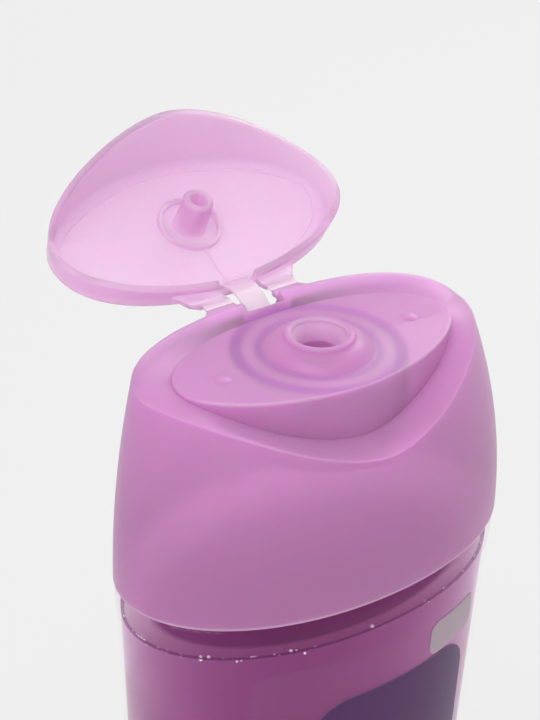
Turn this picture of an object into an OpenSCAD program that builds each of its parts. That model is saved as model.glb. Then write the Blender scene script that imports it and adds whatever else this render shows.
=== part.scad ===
// Shower gel bottle with a flip-top closure, lid open.
// Millimetres. The origin is the middle of the foot, +Z is up, +X runs along the
// long side of the oval and -Y is the front, where the thumb lifts the lid.

/* [Bottle] */
// Height of the clear bottle from its foot to the closure's lower edge
body_h = 172; // [120:1:240]
// Half the width of the bottle at the closure
top_half_w = 38.1; // [34:0.1:44]
// Half the depth of the bottle at the closure
top_half_d = 22.5; // [20:0.1:28]
// How much less half the width is at the waist than at the closure
waist_in_w = 3.5; // [1:0.1:6]
// How much less half the depth is at the waist than at the closure
waist_in_d = 2.1; // [0.5:0.1:4]
// Height of the waist above the foot
waist_z = 80; // [50:1:110]
// How much less half the width is at the foot than at the closure
foot_in_w = 2.1; // [0:0.1:5]
// How much less half the depth is at the foot than at the closure
foot_in_d = 1.1; // [0:0.1:3]
// How late the side widens from the waist towards the closure
waist_power = 1.4; // [1:0.1:3]
// Radius of the rounded edge round the foot
foot_round = 5; // [2:0.5:8]
// Wall of the blown bottle
bottle_wall = 0.8; // [0.5:0.1:1.5]
// Height of the rounded step under the closure's edge
shoulder_round = 1.6; // [0.8:0.1:2.5]
// Height of the upright collar that the closure's wall slides over
collar_h = 5; // [4:0.5:7]
// Power of the oval section, where 2 is an ellipse
oval_power = 2.05; // [2:0.05:2.6]

/* [Neck] */
// Outer radius of the neck's wall
neck_r = 12.4; // [12:0.1:13]
// Height of the neck above the shoulder
neck_h = 16; // [12:0.5:18]
// How far the snap bead stands out of the neck
neck_bead = 0.45; // [0.2:0.05:0.6]
// Height of the snap bead
neck_bead_h = 2.4; // [1.5:0.1:3.5]
// Distance from the neck's top down to the snap bead
neck_bead_drop = 4; // [3:0.1:6]

/* [Gel] */
// Distance from the closure's lower edge down to the gel's surface
gel_drop = 6.5; // [3:0.1:60]
// Gap left between the gel and the bottle's wall
gel_gap = 0.1; // [0.05:0.05:0.3]

/* [Closure] */
// Height of the closure from its lower edge to the deck
cap_h = 37.7; // [34:0.1:44]
// How far the closure's lower edge stands out over the bottle
cap_proud = 0.2; // [0:0.05:0.6]
// Wall of the closure's outer shell
cap_wall = 1.3; // [1:0.1:1.8]
// Thickness of the deck
deck_t = 1.3; // [1:0.1:1.8]
// Gap between the closure's lower edge and the bottle's step
cap_seat_gap = 0.3; // [0.1:0.05:0.5]
// Gap between the closure's wall and the bottle's collar
collar_gap = 0.3; // [0.2:0.05:0.5]
// How late the shell's wall leans in towards the rim
wall_power = 2.1; // [1.5:0.1:4]

/* [Rim] */
// Half the width of the sharp rim round the top
rim_half_w = 33.3; // [31:0.1:35]
// How far the rim's widest place lies behind the nozzle
rim_centre_y = 3; // [0:0.1:5]
// Depth of the rim in front of its widest place
rim_front_d = 23.9; // [22:0.1:25]
// Depth of the rim behind its widest place
rim_back_d = 14.1; // [13.5:0.1:16]
// Power of the rim's front, where less than 2 is pointed
rim_front_power = 1.76; // [1.6:0.02:2.2]
// Power of the rim's back
rim_back_power = 2.37; // [2:0.02:2.6]
// Flat lip along the rim
rim_lip = 0.8; // [0.4:0.1:1.2]
// How far the rim lies below the deck at the front
rim_front_drop = 10.3; // [8:0.1:12]
// How far the rim lies below the deck at its widest place
rim_side_drop = 1; // [0.5:0.1:2]
// How far the rim stands above the deck at the back
rim_back_rise = 1.8; // [1:0.1:2.4]

/* [Deck] */
// Half the width of the raised deck
deck_half_w = 27.6; // [26:0.1:29]
// Depth of the deck in front of the nozzle
deck_front_d = 14; // [13.6:0.1:15]
// Depth of the deck behind the nozzle
deck_back_d = 13.7; // [12.5:0.1:14]
// Power of the deck's front edge
deck_front_power = 1.75; // [1.6:0.02:2.2]
// Power of the deck's back edge
deck_back_power = 2.2; // [2:0.02:2.6]
// Depth of the thumb recess below the deck at the front
recess_drop = 9.6; // [7:0.1:11]
// Least height of the step round the deck
deck_step = 0.6; // [0.4:0.1:1.2]
// Rounding of the deck's edge
deck_round = 0.35; // [0.2:0.05:0.6]
// Distance of the two rest bumps from the nozzle
bump_x = 19.5; // [17:0.1:21]
// Radius of a rest bump where it meets the deck
bump_r = 1.5; // [1:0.1:2]
// Height of a rest bump
bump_h = 0.45; // [0.2:0.05:0.8]

/* [Nozzle] */
// Radius of the nozzle's foot
nozzle_r = 9.4; // [8.5:0.1:10]
// Height of the nozzle above the deck
nozzle_h = 3; // [2:0.1:3.4]
// Radius to the middle of the nozzle's rounded lip
nozzle_lip_r = 5.4; // [4.8:0.1:6]
// Half the thickness of the rounded lip
nozzle_lip_round = 0.75; // [0.5:0.05:1]
// How far the nozzle's flank bows out of a straight cone
nozzle_bow = 0.35; // [0:0.05:0.5]
// Radius of the orifice
orifice_r = 3.1; // [2.9:0.05:3.4]
// Depth of the orifice's lower end below the deck
orifice_drop = 2.4; // [1.8:0.1:3]
// Height above the deck at which the dish meets the orifice
dish_z = -0.6; // [-1:0.1:0.4]

/* [Skirt and seal] */
// Outer radius of the snap skirt
skirt_r = 15.1; // [14.5:0.1:16]
// Gap between the skirt and the neck's bead
skirt_gap = 0.15; // [0.05:0.05:0.3]
// Length of the skirt below the deck
skirt_l = 15; // [12:0.5:17]
// Outer radius of the plug seal
plug_r = 10.9; // [10.5:0.1:11.2]
// Wall of the plug seal
plug_wall = 1.3; // [1:0.1:1.6]
// Length of the plug seal below the deck
plug_l = 6; // [4:0.5:8]
// Gap between the plug seal and the neck's bore
plug_gap = 0.05; // [0.02:0.01:0.1]
// Gap between the neck's top and the underside of the deck
neck_top_gap = 0.3; // [0.1:0.1:0.6]

/* [Lid] */
// Angle by which the lid stands open
lid_open = 155.5; // [0:0.5:165]
// Wall of the lid
lid_wall = 1.25; // [1:0.05:1.6]
// Gap between the lid and the step round the deck
lid_gap = 0.4; // [0.3:0.05:0.6]
// How much further out the lid's rim stands at its two ends
lid_flare = 0.9; // [0:0.1:1.5]
// How much further out the lid's wall stands at the back
lid_back_shift = 1.1; // [0.4:0.1:1.4]
// Height of the lid's plate above the deck when it is shut
plate_z = 4.6; // [4:0.1:6]
// Thickness of the lid's plate
plate_t = 1.3; // [1:0.1:1.6]
// Rounding of the lid's outer edge
lid_round = 1.8; // [1:0.1:2.2]
// Radius of the fillet between the lid's wall and the plate
plate_fillet = 1; // [0.4:0.1:1.6]
// Height of the step line round the inside of the plate
plate_step = 0.25; // [0.1:0.05:0.4]
// Distance of the step line from the lid's wall
step_in = 2.3; // [1.8:0.1:4]
// Radius of the sealing pin where it meets the plate
pin_r = 2.95; // [2.7:0.05:3]
// Radius of the pin's end
pin_end_r = 2.65; // [2.4:0.05:2.8]
// Length of the pin
pin_l = 7.2; // [6:0.1:7.6]
// Rounding of the pin's end
pin_round = 0.4; // [0.2:0.05:0.6]
// Radius of the pin's blind hole
pin_hole_r = 1.5; // [1:0.1:1.8]
// Distance from the plate to the end of the pin's hole
pin_floor = 0.4; // [0.2:0.1:2]
// Outer radius of the ring round the pin
ring_r = 5.9; // [5.4:0.1:6.4]
// Thickness of the ring
ring_t = 0.8; // [0.5:0.1:1.2]
// Height of the ring
ring_h = 1; // [0.5:0.1:1.3]
// Width of the flow rib that runs from the ring to the hinge
rib_w = 0.7; // [0.4:0.1:1.2]
// Height of the flow rib
rib_h = 0.4; // [0.1:0.05:0.5]

/* [Hinge] */
// Distance of the hinge line behind the nozzle
hinge_y = 19.8; // [19:0.1:21]
// Height of the hinge line above the deck
hinge_z = 1.05; // [0.6:0.05:1.6]
// Where a film hinge begins, from the middle
film_x0 = 4; // [3.4:0.1:4.6]
// Where a film hinge ends, from the middle
film_x1 = 9.7; // [8:0.1:11]
// Gap between the lugs of the lid and of the base when the lid is shut
lug_gap = 0.3; // [0.2:0.05:0.5]
// Thickness of a film hinge
film_t = 0.4; // [0.3:0.05:0.6]
// Half the length of a film hinge across its line
film_half_l = 0.6; // [0.4:0.05:0.9]
// Where a lug ends on the lid's wall, from the middle
lug_x1 = 13; // [11:0.1:14]
// Thickness of the lugs
lug_t = 1.1; // [0.8:0.1:1.4]
// Half the width of the notch for the strap
notch_half_w = 3.9; // [3.4:0.1:4.2]
// Width of the centre strap
strap_w = 5; // [4:0.1:6]
// Thickness of the centre strap
strap_t = 0.5; // [0.4:0.05:0.8]
// Where the notch begins, behind the nozzle
notch_y = 15.2; // [14.6:0.1:16]
// Depth of the notch's floor below the deck
notch_drop = 1.6; // [1:0.1:2.4]
// Where the strap leaves the notch's floor, behind the nozzle
strap_foot_y = 17.4; // [16.5:0.1:18]
// Where the strap meets the shut lid's plate, behind the nozzle
strap_land_y = 14.4; // [14:0.1:15.5]
// How far the strap's bow stands behind the hinge line
strap_lean = 1.6; // [0:0.1:3]
// How high the strap's bow is drawn over the hinge line
strap_bow = 1.9; // [1:0.1:3]
// Gap left where a hinge piece meets the lid or the base
bend_gap = 0.05; // [0.02:0.01:0.1]

/* [Label] */
// Angle round the oval at which the label's left edge lies
label_from = 229.5; // [205:0.5:250]
// Angle round the oval at which the label's right edge lies
label_to = 310.5; // [290:0.5:335]
// Distance from the closure's edge down to the label's top
label_drop = 10.5; // [8:0.5:20]
// Height of the label
label_h = 128; // [60:1:140]
// Radius of the label's corners
label_corner = 5; // [3:0.5:12]
// Thickness of the label
label_t = 0.12; // [0.08:0.01:0.3]
// Gap left under the label
label_gap = 0.08; // [0.05:0.01:0.15]

/* [Hidden] */

// Points round each oval section
around = 72;
// Roundness of the turned pieces
turned = 96;
// A little extra for cuts that run past a face
past = 1;
// Overlap that joins one feature of a moulding to the next
weld = 0.3;

deck_z = body_h + cap_h;
cap_half_w = top_half_w + cap_proud;
cap_half_d = top_half_d + cap_proud;
skirt_in_r = neck_r + neck_bead + skirt_gap;
neck_bore_r = plug_r + plug_gap;
neck_top = deck_z - deck_t - neck_top_gap;
shoulder_top = neck_top - neck_h;
gel_z = body_h - gel_drop;
label_top = body_h - label_drop;

bottle_color = [0.90, 0.86, 0.92, 0.4];
gel_color = [0.62, 0.24, 0.60, 0.7];
cap_color = [0.83, 0.55, 0.80];
lid_color = [0.92, 0.74, 0.89];
film_color = [0.95, 0.86, 0.94];
label_color = [0.30, 0.16, 0.42];

function mix(a, b, s) = a + (b - a) * s;
function signed_pow(v, p) = sign(v) * pow(abs(v), p);
function turn_of(i) = 360 * i / around;

// A point of an oval with its own depth and power in front of and behind its centre
function oval_point(t, half_w, front_d, back_d, centre_y, front_power, back_power) =
    let (power = sin(t) < 0 ? front_power : back_power)
    let (depth = sin(t) < 0 ? front_d : back_d)
    [half_w * signed_pow(cos(t), 2 / power), centre_y + depth * signed_pow(sin(t), 2 / power)];

function even_oval(t, half_w, half_d) =
    oval_point(t, half_w, half_d, half_d, 0, oval_power, oval_power);

function reversed(list) = [for (i = [len(list) - 1 : -1 : 0]) list[i]];

// Skin over rings of equal length, closed flat at both ends
module skin(rings) {
    n = len(rings[0]);
    points = [for (ring = rings) each ring];
    sides = [for (k = [0 : len(rings) - 2]) for (i = [0 : n - 1])
        each [[k * n + i, k * n + (i + 1) % n, (k + 1) * n + (i + 1) % n],
              [k * n + i, (k + 1) * n + (i + 1) % n, (k + 1) * n + i]]];
    low = reversed([for (i = [0 : n - 1]) i]);
    high = [for (i = [0 : n - 1]) (len(rings) - 1) * n + i];
    faces = [for (face = concat([low], sides, [high])) reversed(face)];
    polyhedron(points, faces, convexity = 6);
}

// How far the bottle's side stands in at a height, before its foot and step are rounded
function side_in(z, foot_in, waist_in) = z < waist_z
    ? mix(waist_in, foot_in, pow((waist_z - z) / waist_z, 2))
    : waist_in * (1 - pow((z - waist_z) / (body_h - waist_z), waist_power));
function body_half_w(z) = top_half_w - side_in(z, foot_in_w, waist_in_w);
function body_half_d(z) = top_half_d - side_in(z, foot_in_d, waist_in_d);

function body_ring(z, inset) = [for (i = [0 : around - 1])
    let (p = even_oval(turn_of(i), body_half_w(z) - inset, body_half_d(z) - inset)) [p.x, p.y, z]];

// Heights and insets up the rounded foot, the side and the step under the closure
foot_steps = [for (a = [0, 30, 60, 90]) [foot_round * (1 - cos(a)), foot_round * (1 - sin(a))]];
side_steps = [for (s = [0.13 : 0.125 : 0.9]) [mix(foot_round, body_h - shoulder_round, s), 0]];
collar_inset = cap_wall - cap_proud + collar_gap;
step_steps = [for (a = [0, 45, 90])
    [body_h - cap_seat_gap - shoulder_round * (1 - sin(a)), collar_inset * (1 - cos(a))]];

// Rings of the shoulder, from the collar at s = 0 to a circle under the neck's wall at s = 1
function shoulder_ring(s, wall) = [for (i = [0 : around - 1])
    let (wide = even_oval(turn_of(i), top_half_w - collar_inset - wall, top_half_d - collar_inset - wall))
    let (narrow = 0.5 * (neck_r + neck_bore_r) * [cos(turn_of(i)), sin(turn_of(i))])
    let (flat = mix(wide, narrow, 1 - cos(90 * s)))
    [flat.x, flat.y, mix(body_h + collar_h, shoulder_top, sin(90 * s)) - wall]];

shoulder_steps = [0, 0.33, 0.67, 1];

function outer_rings() = concat(
    [for (s = foot_steps) body_ring(s[0], s[1])],
    [for (s = side_steps) body_ring(s[0], s[1])],
    [for (s = step_steps) body_ring(s[0], s[1])],
    [for (s = shoulder_steps) shoulder_ring(s, 0)]);

function inner_rings(wall, top) = concat(
    [for (s = foot_steps) body_ring(s[0] + wall * (1 - s[0] / foot_round), s[1] + wall)],
    [for (s = side_steps) if (s[0] < top) body_ring(s[0], wall)]);

// Inside of the blown bottle, up to the neck
module bottle_room() {
    skin(concat(inner_rings(bottle_wall, body_h),
        [body_ring(body_h - 2 * shoulder_round, bottle_wall)],
        [body_ring(body_h - cap_seat_gap, collar_inset + bottle_wall)],
        [for (s = shoulder_steps) shoulder_ring(s, bottle_wall)]));
}

// Neck with its snap bead, turned
module neck_outside() {
    bead_z = neck_top - neck_bead_drop;
    rotate_extrude($fn = turned)
        polygon([[0, shoulder_top - 0.5 * bottle_wall], [neck_r, shoulder_top - 0.5 * bottle_wall],
            [neck_r, bead_z - neck_bead_h], [neck_r + neck_bead, bead_z - 0.7 * neck_bead_h],
            [neck_r + neck_bead, bead_z - 0.4 * neck_bead_h], [neck_r, bead_z],
            [neck_r, neck_top], [0, neck_top]]);
}

module bottle() {
    color(bottle_color)
    difference() {
        union() {
            skin(outer_rings());
            neck_outside();
        }
        bottle_room();
        translate([0, 0, shoulder_top - 4 * bottle_wall])
            cylinder(h = neck_h + 4 * bottle_wall + past, r = neck_bore_r, $fn = turned);
    }
}

// Gel that fills the bottle up to its level
module gel_fill() {
    inset = bottle_wall + gel_gap;
    color(gel_color)
    skin(concat(inner_rings(inset, gel_z - past), [body_ring(gel_z, inset)]));
}

// Outlines of the closure, by the angle round the oval
function low_point(t, inset) = even_oval(t, cap_half_w - inset, cap_half_d - inset);
function rim_point(t, inset) = oval_point(t, rim_half_w - inset, rim_front_d - inset,
    rim_back_d - inset, rim_centre_y, rim_front_power, rim_back_power);
function deck_point(t, inset) = oval_point(t, deck_half_w - inset, deck_front_d - inset,
    deck_back_d - inset, 0, deck_front_power, deck_back_power);

// Heights above the deck: the rim dips at the front, where the thumb goes in
function front_dip(t, power) = sin(t) < 0 ? pow(-sin(t), power) : 0;
function back_rise(t) = sin(t) > 0 ? 1 - pow(1 - sin(t), 1.2) : 0;
function rim_z(t) = -rim_side_drop - (rim_front_drop - rim_side_drop) * front_dip(t, 3.1)
    + (rim_back_rise + rim_side_drop) * back_rise(t);
function foot_z(t) = -deck_step - (recess_drop - deck_step) * front_dip(t, 2.3);

function lifted(p, z) = [p.x, p.y, deck_z + z];

// A ring of the shell's wall, from its lower edge at v = 0 to the rim at v = 1
function wall_ring(v, inset, drop) = [for (i = [0 : around - 1])
    let (t = turn_of(i))
    let (flat = mix(low_point(t, inset), rim_point(t, inset), pow(v, wall_power)))
    lifted(flat, mix(-cap_h, rim_z(t) - drop, v))];

// A ring of the sloping ledge, from the rim's lip at s = 0 to the foot of the deck's step at s = 1
function ledge_ring(s, inset, drop) = [for (i = [0 : around - 1])
    let (t = turn_of(i))
    lifted(mix(rim_point(t, rim_lip + inset), deck_point(t, inset), s), mix(rim_z(t), foot_z(t), s) - drop)];

function deck_ring(inset, z) = [for (i = [0 : around - 1]) lifted(deck_point(turn_of(i), inset), z)];

wall_steps = [0, 0.3, 0.55, 0.7, 0.8, 0.88, 0.94, 0.98, 1];
room_steps = [0.3, 0.55, 0.75, 0.88, 0.96];

// Outside of the closure as a closed solid
module closure_outside() {
    skin(concat([for (v = wall_steps) wall_ring(v, 0, 0)],
        [for (s = [0, 0.5, 1]) ledge_ring(s, 0, 0)],
        [for (a = [0, 45, 90]) deck_ring(deck_round * (1 - cos(a)), -deck_round * (1 - sin(a)))]));
}

// Room under the shell, the ledge and the deck
module closure_room() {
    skin(concat([[for (p = wall_ring(0, cap_wall, 0)) p - [0, 0, past]]],
        [for (v = room_steps) wall_ring(v, cap_wall, deck_t)],
        [ledge_ring(0, cap_wall, deck_t), ledge_ring(1, cap_wall, deck_t)],
        [deck_ring(cap_wall, -deck_t)]));
}

// Upright ring turned about the nozzle's axis, from a depth below the deck up into the deck
module hanging_ring(outer_r, inner_r, length) {
    translate([0, 0, deck_z - length])
        difference() {
            cylinder(h = length - deck_t + weld, r = outer_r, $fn = turned);
            translate([0, 0, -past])
                cylinder(h = length + 2 * past, r = inner_r, $fn = turned);
        }
}

// Round room inside the skirt for the bottle's neck
module neck_room() {
    translate([0, 0, deck_z - skirt_l - past])
        cylinder(h = skirt_l + past - deck_t, r = skirt_in_r, $fn = turned);
}

function arc(centre, r, from, to, steps) = [for (k = [0 : steps])
    let (a = mix(from, to, k / steps)) centre + r * [cos(a), sin(a)]];

lip_z = nozzle_h - nozzle_lip_round;
dish_r = nozzle_lip_r - nozzle_lip_round;

// Outside of the nozzle: a bowed cone and a rounded lip
module nozzle() {
    flank = [for (s = [0 : 0.2 : 0.8])
        [mix(nozzle_r, nozzle_lip_r + nozzle_lip_round, s), mix(0, lip_z, s) + nozzle_bow * sin(180 * s)]];
    translate([0, 0, deck_z])
        rotate_extrude($fn = turned)
            polygon(concat([[0, -orifice_drop], [orifice_r + deck_t, -orifice_drop],
                    [orifice_r + deck_t, -deck_t], [nozzle_r, -deck_t]],
                flank,
                arc([nozzle_lip_r, lip_z], nozzle_lip_round, 10, 180, 8),
                [[0, lip_z]]));
}

// Inside of the nozzle: a dish that runs down into the orifice
module nozzle_bore() {
    translate([0, 0, deck_z])
        rotate_extrude($fn = turned)
            polygon([[0, -orifice_drop - past], [orifice_r, -orifice_drop - past], [orifice_r, dish_z],
                [mix(orifice_r, dish_r, 0.35), mix(dish_z, lip_z, 0.5)], [dish_r, lip_z],
                [dish_r, nozzle_h], [0, nozzle_h]]);
}

module rest_bump(x) {
    ball_r = (bump_r * bump_r + bump_h * bump_h) / (2 * bump_h);
    translate([x, 0, deck_z + bump_h - ball_r])
        intersection() {
            sphere(r = ball_r, $fn = turned);
            translate([0, 0, ball_r - bump_h - weld])
                cylinder(h = 2 * bump_h + weld, r = 2 * bump_r, $fn = 32);
        }
}

// Trapezoid lug between two heights: wide on the wall and narrow at the film hinge
module lug_plate(wall_y, wall_end_y, bottom, top) {
    tip_y = hinge_y - film_half_l;
    for (side = [0, 1])
        mirror([side, 0, 0])
            translate([0, 0, bottom])
                linear_extrude(height = top - bottom)
                    polygon([[film_x0, wall_y], [lug_x1, wall_end_y], [film_x1, tip_y], [film_x0, tip_y]]);
}

// Ledge behind the rim that carries the film hinges
module hinge_seat() {
    translate([0, 0, deck_z])
        lug_plate(rim_centre_y + rim_back_d - cap_wall, rim_centre_y + rim_back_d - cap_wall - weld,
            hinge_z - lug_gap / 2 - lug_t, hinge_z - lug_gap / 2);
}

// Closure: shell, ledge, deck, nozzle, skirt, plug seal and hinge seat in one moulding
module closure_base() {
    color(cap_color)
    difference() {
        union() {
            difference() {
                closure_outside();
                difference() {
                    union() {
                        closure_room();
                        neck_room();
                    }
                    hanging_ring(skirt_r, skirt_in_r, skirt_l);
                    hanging_ring(plug_r, plug_r - plug_wall, plug_l);
                    notch_walls();
                }
            }
            nozzle();
            for (x = [-bump_x, bump_x])
                rest_bump(x);
            hinge_seat();
        }
        nozzle_bore();
        strap_notch();
    }
}

// Notch through the rim that the strap bends into, with a floor and walls of its own
module strap_notch() {
    translate([-notch_half_w, notch_y, deck_z - notch_drop])
        cube([2 * notch_half_w, cap_half_d, cap_h]);
}

module notch_walls() {
    translate([-notch_half_w - cap_wall, notch_y - cap_wall, deck_z - notch_drop - deck_t])
        cube([2 * (notch_half_w + cap_wall), cap_half_d, cap_h]);
}

// Stand of the closed lid over the base, turned back about the hinge line
module opened(angle) {
    translate([0, hinge_y, deck_z + hinge_z])
        rotate([-angle, 0, 0])
            translate([0, -hinge_y, -deck_z - hinge_z])
                children();
}

// Share of the way from the deck's step to the rim at which the lid's inner or outer face stands
function share(t, out) = (out + lid_back_shift * (sin(t) > 0 ? pow(sin(t), 2) : 0))
    / norm(rim_point(t, rim_lip) - deck_point(t, 0));
function lid_point(t, out) = mix(deck_point(t, 0), rim_point(t, rim_lip), share(t, out));
function lid_rim_z(t, out) = mix(foot_z(t), rim_z(t), min(1, share(t, out))) + lid_gap;

lid_top = plate_z + plate_t;

// A ring of the lid's wall, from its rim at rise = 0 to the plate at rise = 1, flaring at the ends
function lid_ring(out, rise, top) = [for (i = [0 : around - 1])
    let (t = turn_of(i))
    let (flare = lid_flare * (1 - rise) * pow(abs(cos(t)), 4))
    lifted(lid_point(t, out + flare), mix(lid_rim_z(t, out), top, rise))];
function plate_ring(out, z) = [for (i = [0 : around - 1]) lifted(lid_point(turn_of(i), out), z)];

// Lid as one skin: from the plate's underside with its step line, down the inside, round the rim
// and up the outside to the plate's top
module lid_shell() {
    out = lid_gap + lid_wall;
    step_z = plate_z - plate_step;
    round_z = lid_top - lid_round;
    skin(concat([plate_ring(lid_gap - step_in, plate_z), plate_ring(lid_gap - step_in + plate_step, step_z)],
        [for (a = [90, 45])
            plate_ring(lid_gap - plate_fillet * (1 - cos(a)), step_z - plate_fillet * (1 - sin(a)))],
        [for (rise = [1, 0.7, 0.35, 0]) lid_ring(lid_gap, rise, step_z - plate_fillet)],
        [for (rise = [0, 0.35, 0.7, 1]) lid_ring(out, rise, round_z)],
        [for (a = [30, 60, 90]) plate_ring(out - lid_round * (1 - cos(a)), round_z + lid_round * sin(a))]));
}

// Hollow sealing pin and the ring round it, hanging from the plate
module pin_and_ring() {
    end = plate_z - pin_l;
    translate([0, 0, deck_z])
        rotate_extrude($fn = turned)
            polygon([[0, plate_z + weld], [pin_r, plate_z + weld], [pin_r, plate_z],
                [pin_end_r, end + pin_round], [pin_end_r - pin_round, end],
                [pin_hole_r, end], [pin_hole_r, plate_z - pin_floor], [0, plate_z - pin_floor]]);
    translate([0, 0, deck_z + plate_z - ring_h])
        difference() {
            cylinder(h = ring_h + weld, r = ring_r, $fn = turned);
            translate([0, 0, -past])
                cylinder(h = ring_h + past + weld / 2, r = ring_r - ring_t, $fn = turned);
        }
}

module flow_rib() {
    back_y = deck_back_d + lid_gap;
    translate([-rib_w / 2, ring_r - ring_t / 2, deck_z + plate_z - rib_h])
        cube([rib_w, back_y - ring_r, rib_h + weld]);
}

// Lugs that reach from the lid's back wall over the rim and down to the film hinges
module lid_lugs() {
    wall_y = lid_point(90, lid_gap + lid_wall / 2).y;
    crank_y = rim_centre_y + rim_back_d + lug_gap;
    tip_y = hinge_y - film_half_l;
    over = rim_back_rise + 2 * lug_gap;
    low = hinge_z + lug_gap / 2;
    beyond = low - (over - low) * film_half_l / (tip_y - crank_y);
    intersection() {
        translate([0, 0, deck_z])
            lug_plate(wall_y, wall_y - lid_wall, 0, over + 2 * lug_t);
        across(-lug_x1 - past, lug_x1 + past, [[deck_back_d, over], [crank_y, over], [hinge_y, beyond],
            [hinge_y, beyond + lug_t], [crank_y, over + lug_t], [deck_back_d, over + lug_t]]);
    }
}

module flip_lid() {
    color(lid_color)
    opened(lid_open) {
        difference() {
            lid_shell();
            lid_notch();
        }
        pin_and_ring();
        flow_rib();
        lid_lugs();
    }
}

// Gap in the lid's back wall, up to the plate, where the strap joins the plate
module lid_notch() {
    translate([-notch_half_w, notch_y - lid_wall, deck_z])
        cube([2 * notch_half_w, cap_half_d, plate_z - plate_step / 2]);
}

// Place in the upright middle plane, [y, z] above the deck, after the lid turns back by an angle
function turned_back(p, angle) =
    let (r = p - [hinge_y, hinge_z])
    [hinge_y + r.x * cos(angle) + r.y * sin(angle), hinge_z - r.x * sin(angle) + r.y * cos(angle)];

// Strip of constant width whose section in the middle plane is given
module across(x0, x1, section) {
    translate([x0, 0, deck_z])
        rotate([90, 0, 90])
            linear_extrude(height = x1 - x0)
                polygon(section);
}

// Film hinge: thin web from the base's lug round the hinge line to the lid's lug
module film_hinge(x0) {
    near_y = hinge_y - film_half_l + bend_gap;
    crease = 2 * bend_gap;
    top = lug_gap / 2;
    color(film_color)
    across(x0, x0 + film_x1 - film_x0, concat(
        [[near_y, hinge_z - top - film_t], [hinge_y + crease, hinge_z - film_t - bend_gap]],
        [turned_back([near_y, hinge_z + top + film_t], lid_open)],
        [turned_back([near_y, hinge_z + top], lid_open)],
        [[hinge_y - crease, hinge_z - bend_gap], [near_y, hinge_z - top]]));
}

module film_hinge_left() {
    film_hinge(-film_x1);
}

module film_hinge_right() {
    film_hinge(film_x0);
}

function bezier(a, b, c, s) = mix(mix(a, b, s), mix(b, c, s), s);

// Centre strap: a bow that holds the lid open or shut
module hinge_strap() {
    foot = [strap_foot_y, -notch_drop + bend_gap];
    bow = [hinge_y + strap_lean, hinge_z + strap_bow];
    steps = [0 : 0.1 : 1];
    landing = turned_back([strap_land_y, plate_z - plate_step / 2 - bend_gap], lid_open);
    line = [for (s = steps) bezier(foot, bow, landing, s)];
    slope = [for (s = steps) mix(bow - foot, landing - bow, s)];
    side = [for (d = slope) [-d.y, d.x] / norm(d) * strap_t];
    over = [for (k = [0 : len(line) - 1]) line[k] + side[k]];
    color(film_color)
    across(-strap_w / 2, strap_w / 2, concat(over, reversed(line)));
}

label_across = 20;
label_bottom = label_top - label_h;
// How far a label's side stands in from its edge beside a rounded corner
function corner_in(z) =
    let (short = max(0, label_corner - min(label_top - z, z - label_bottom)))
    label_corner - sqrt(max(0, pow(label_corner, 2) - pow(short, 2)));
corner_steps = [for (a = [0, 25, 45, 65, 90]) label_corner * (1 - cos(a))];
label_rows = concat([for (d = corner_steps) label_bottom + d],
    [for (s = side_steps)
        if (min(label_top - s[0], s[0] - label_bottom) > label_corner + 1) s[0]],
    [for (d = reversed(corner_steps)) label_top - d]);

function label_point(k, z, out) =
    let (per_mm = 180 / PI / top_half_w)
    let (t = mix(label_from + per_mm * corner_in(z), label_to - per_mm * corner_in(z), k / label_across))
    let (p = even_oval(t, body_half_w(z) + out, body_half_d(z) + out))
    [p.x, p.y, z];

// Label: a thin film wrapped round the bottle's front
module front_label() {
    n = label_across + 1;
    rows = len(label_rows);
    inside = [for (z = label_rows) for (k = [0 : label_across]) label_point(k, z, label_gap)];
    outside = [for (z = label_rows) for (k = [0 : label_across]) label_point(k, z, label_gap + label_t)];
    m = n * rows;
    sheet = [for (j = [0 : rows - 2]) for (k = [0 : label_across - 1])
        let (a = j * n + k) let (b = a + n)
        each [[a, a + 1, b + 1], [a, b + 1, b]]];
    back = [for (f = sheet) [f[2] + m, f[1] + m, f[0] + m]];
    edge = concat([for (k = [0 : label_across - 1]) k], [for (j = [0 : rows - 2]) j * n + label_across],
        [for (k = [label_across : -1 : 1]) (rows - 1) * n + k], [for (j = [rows - 1 : -1 : 1]) j * n]);
    rim = [for (i = [0 : len(edge) - 1])
        let (a = edge[i]) let (b = edge[(i + 1) % len(edge)])
        each [[b, a, a + m], [b, a + m, b + m]]];
    color(label_color)
    polyhedron(concat(inside, outside), concat(sheet, back, rim), convexity = 4);
}

bottle();
gel_fill();
front_label();
closure_base();
flip_lid();
film_hinge_left();
film_hinge_right();
hinge_strap();
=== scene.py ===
# %% [markdown]
# # A shower gel bottle with an open flip-top lid
# The object is a clear oval bottle filled with gel, under a frosted closure whose lid is
# folded back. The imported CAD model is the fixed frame: it says where every piece is and what
# moves. Each visible surface is worked out again here on a much finer grid, from the same
# formulas and the same millimetres, so that curved walls look curved close up.

import math

import bpy
import numpy as np
from mathutils import Matrix, Vector


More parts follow.
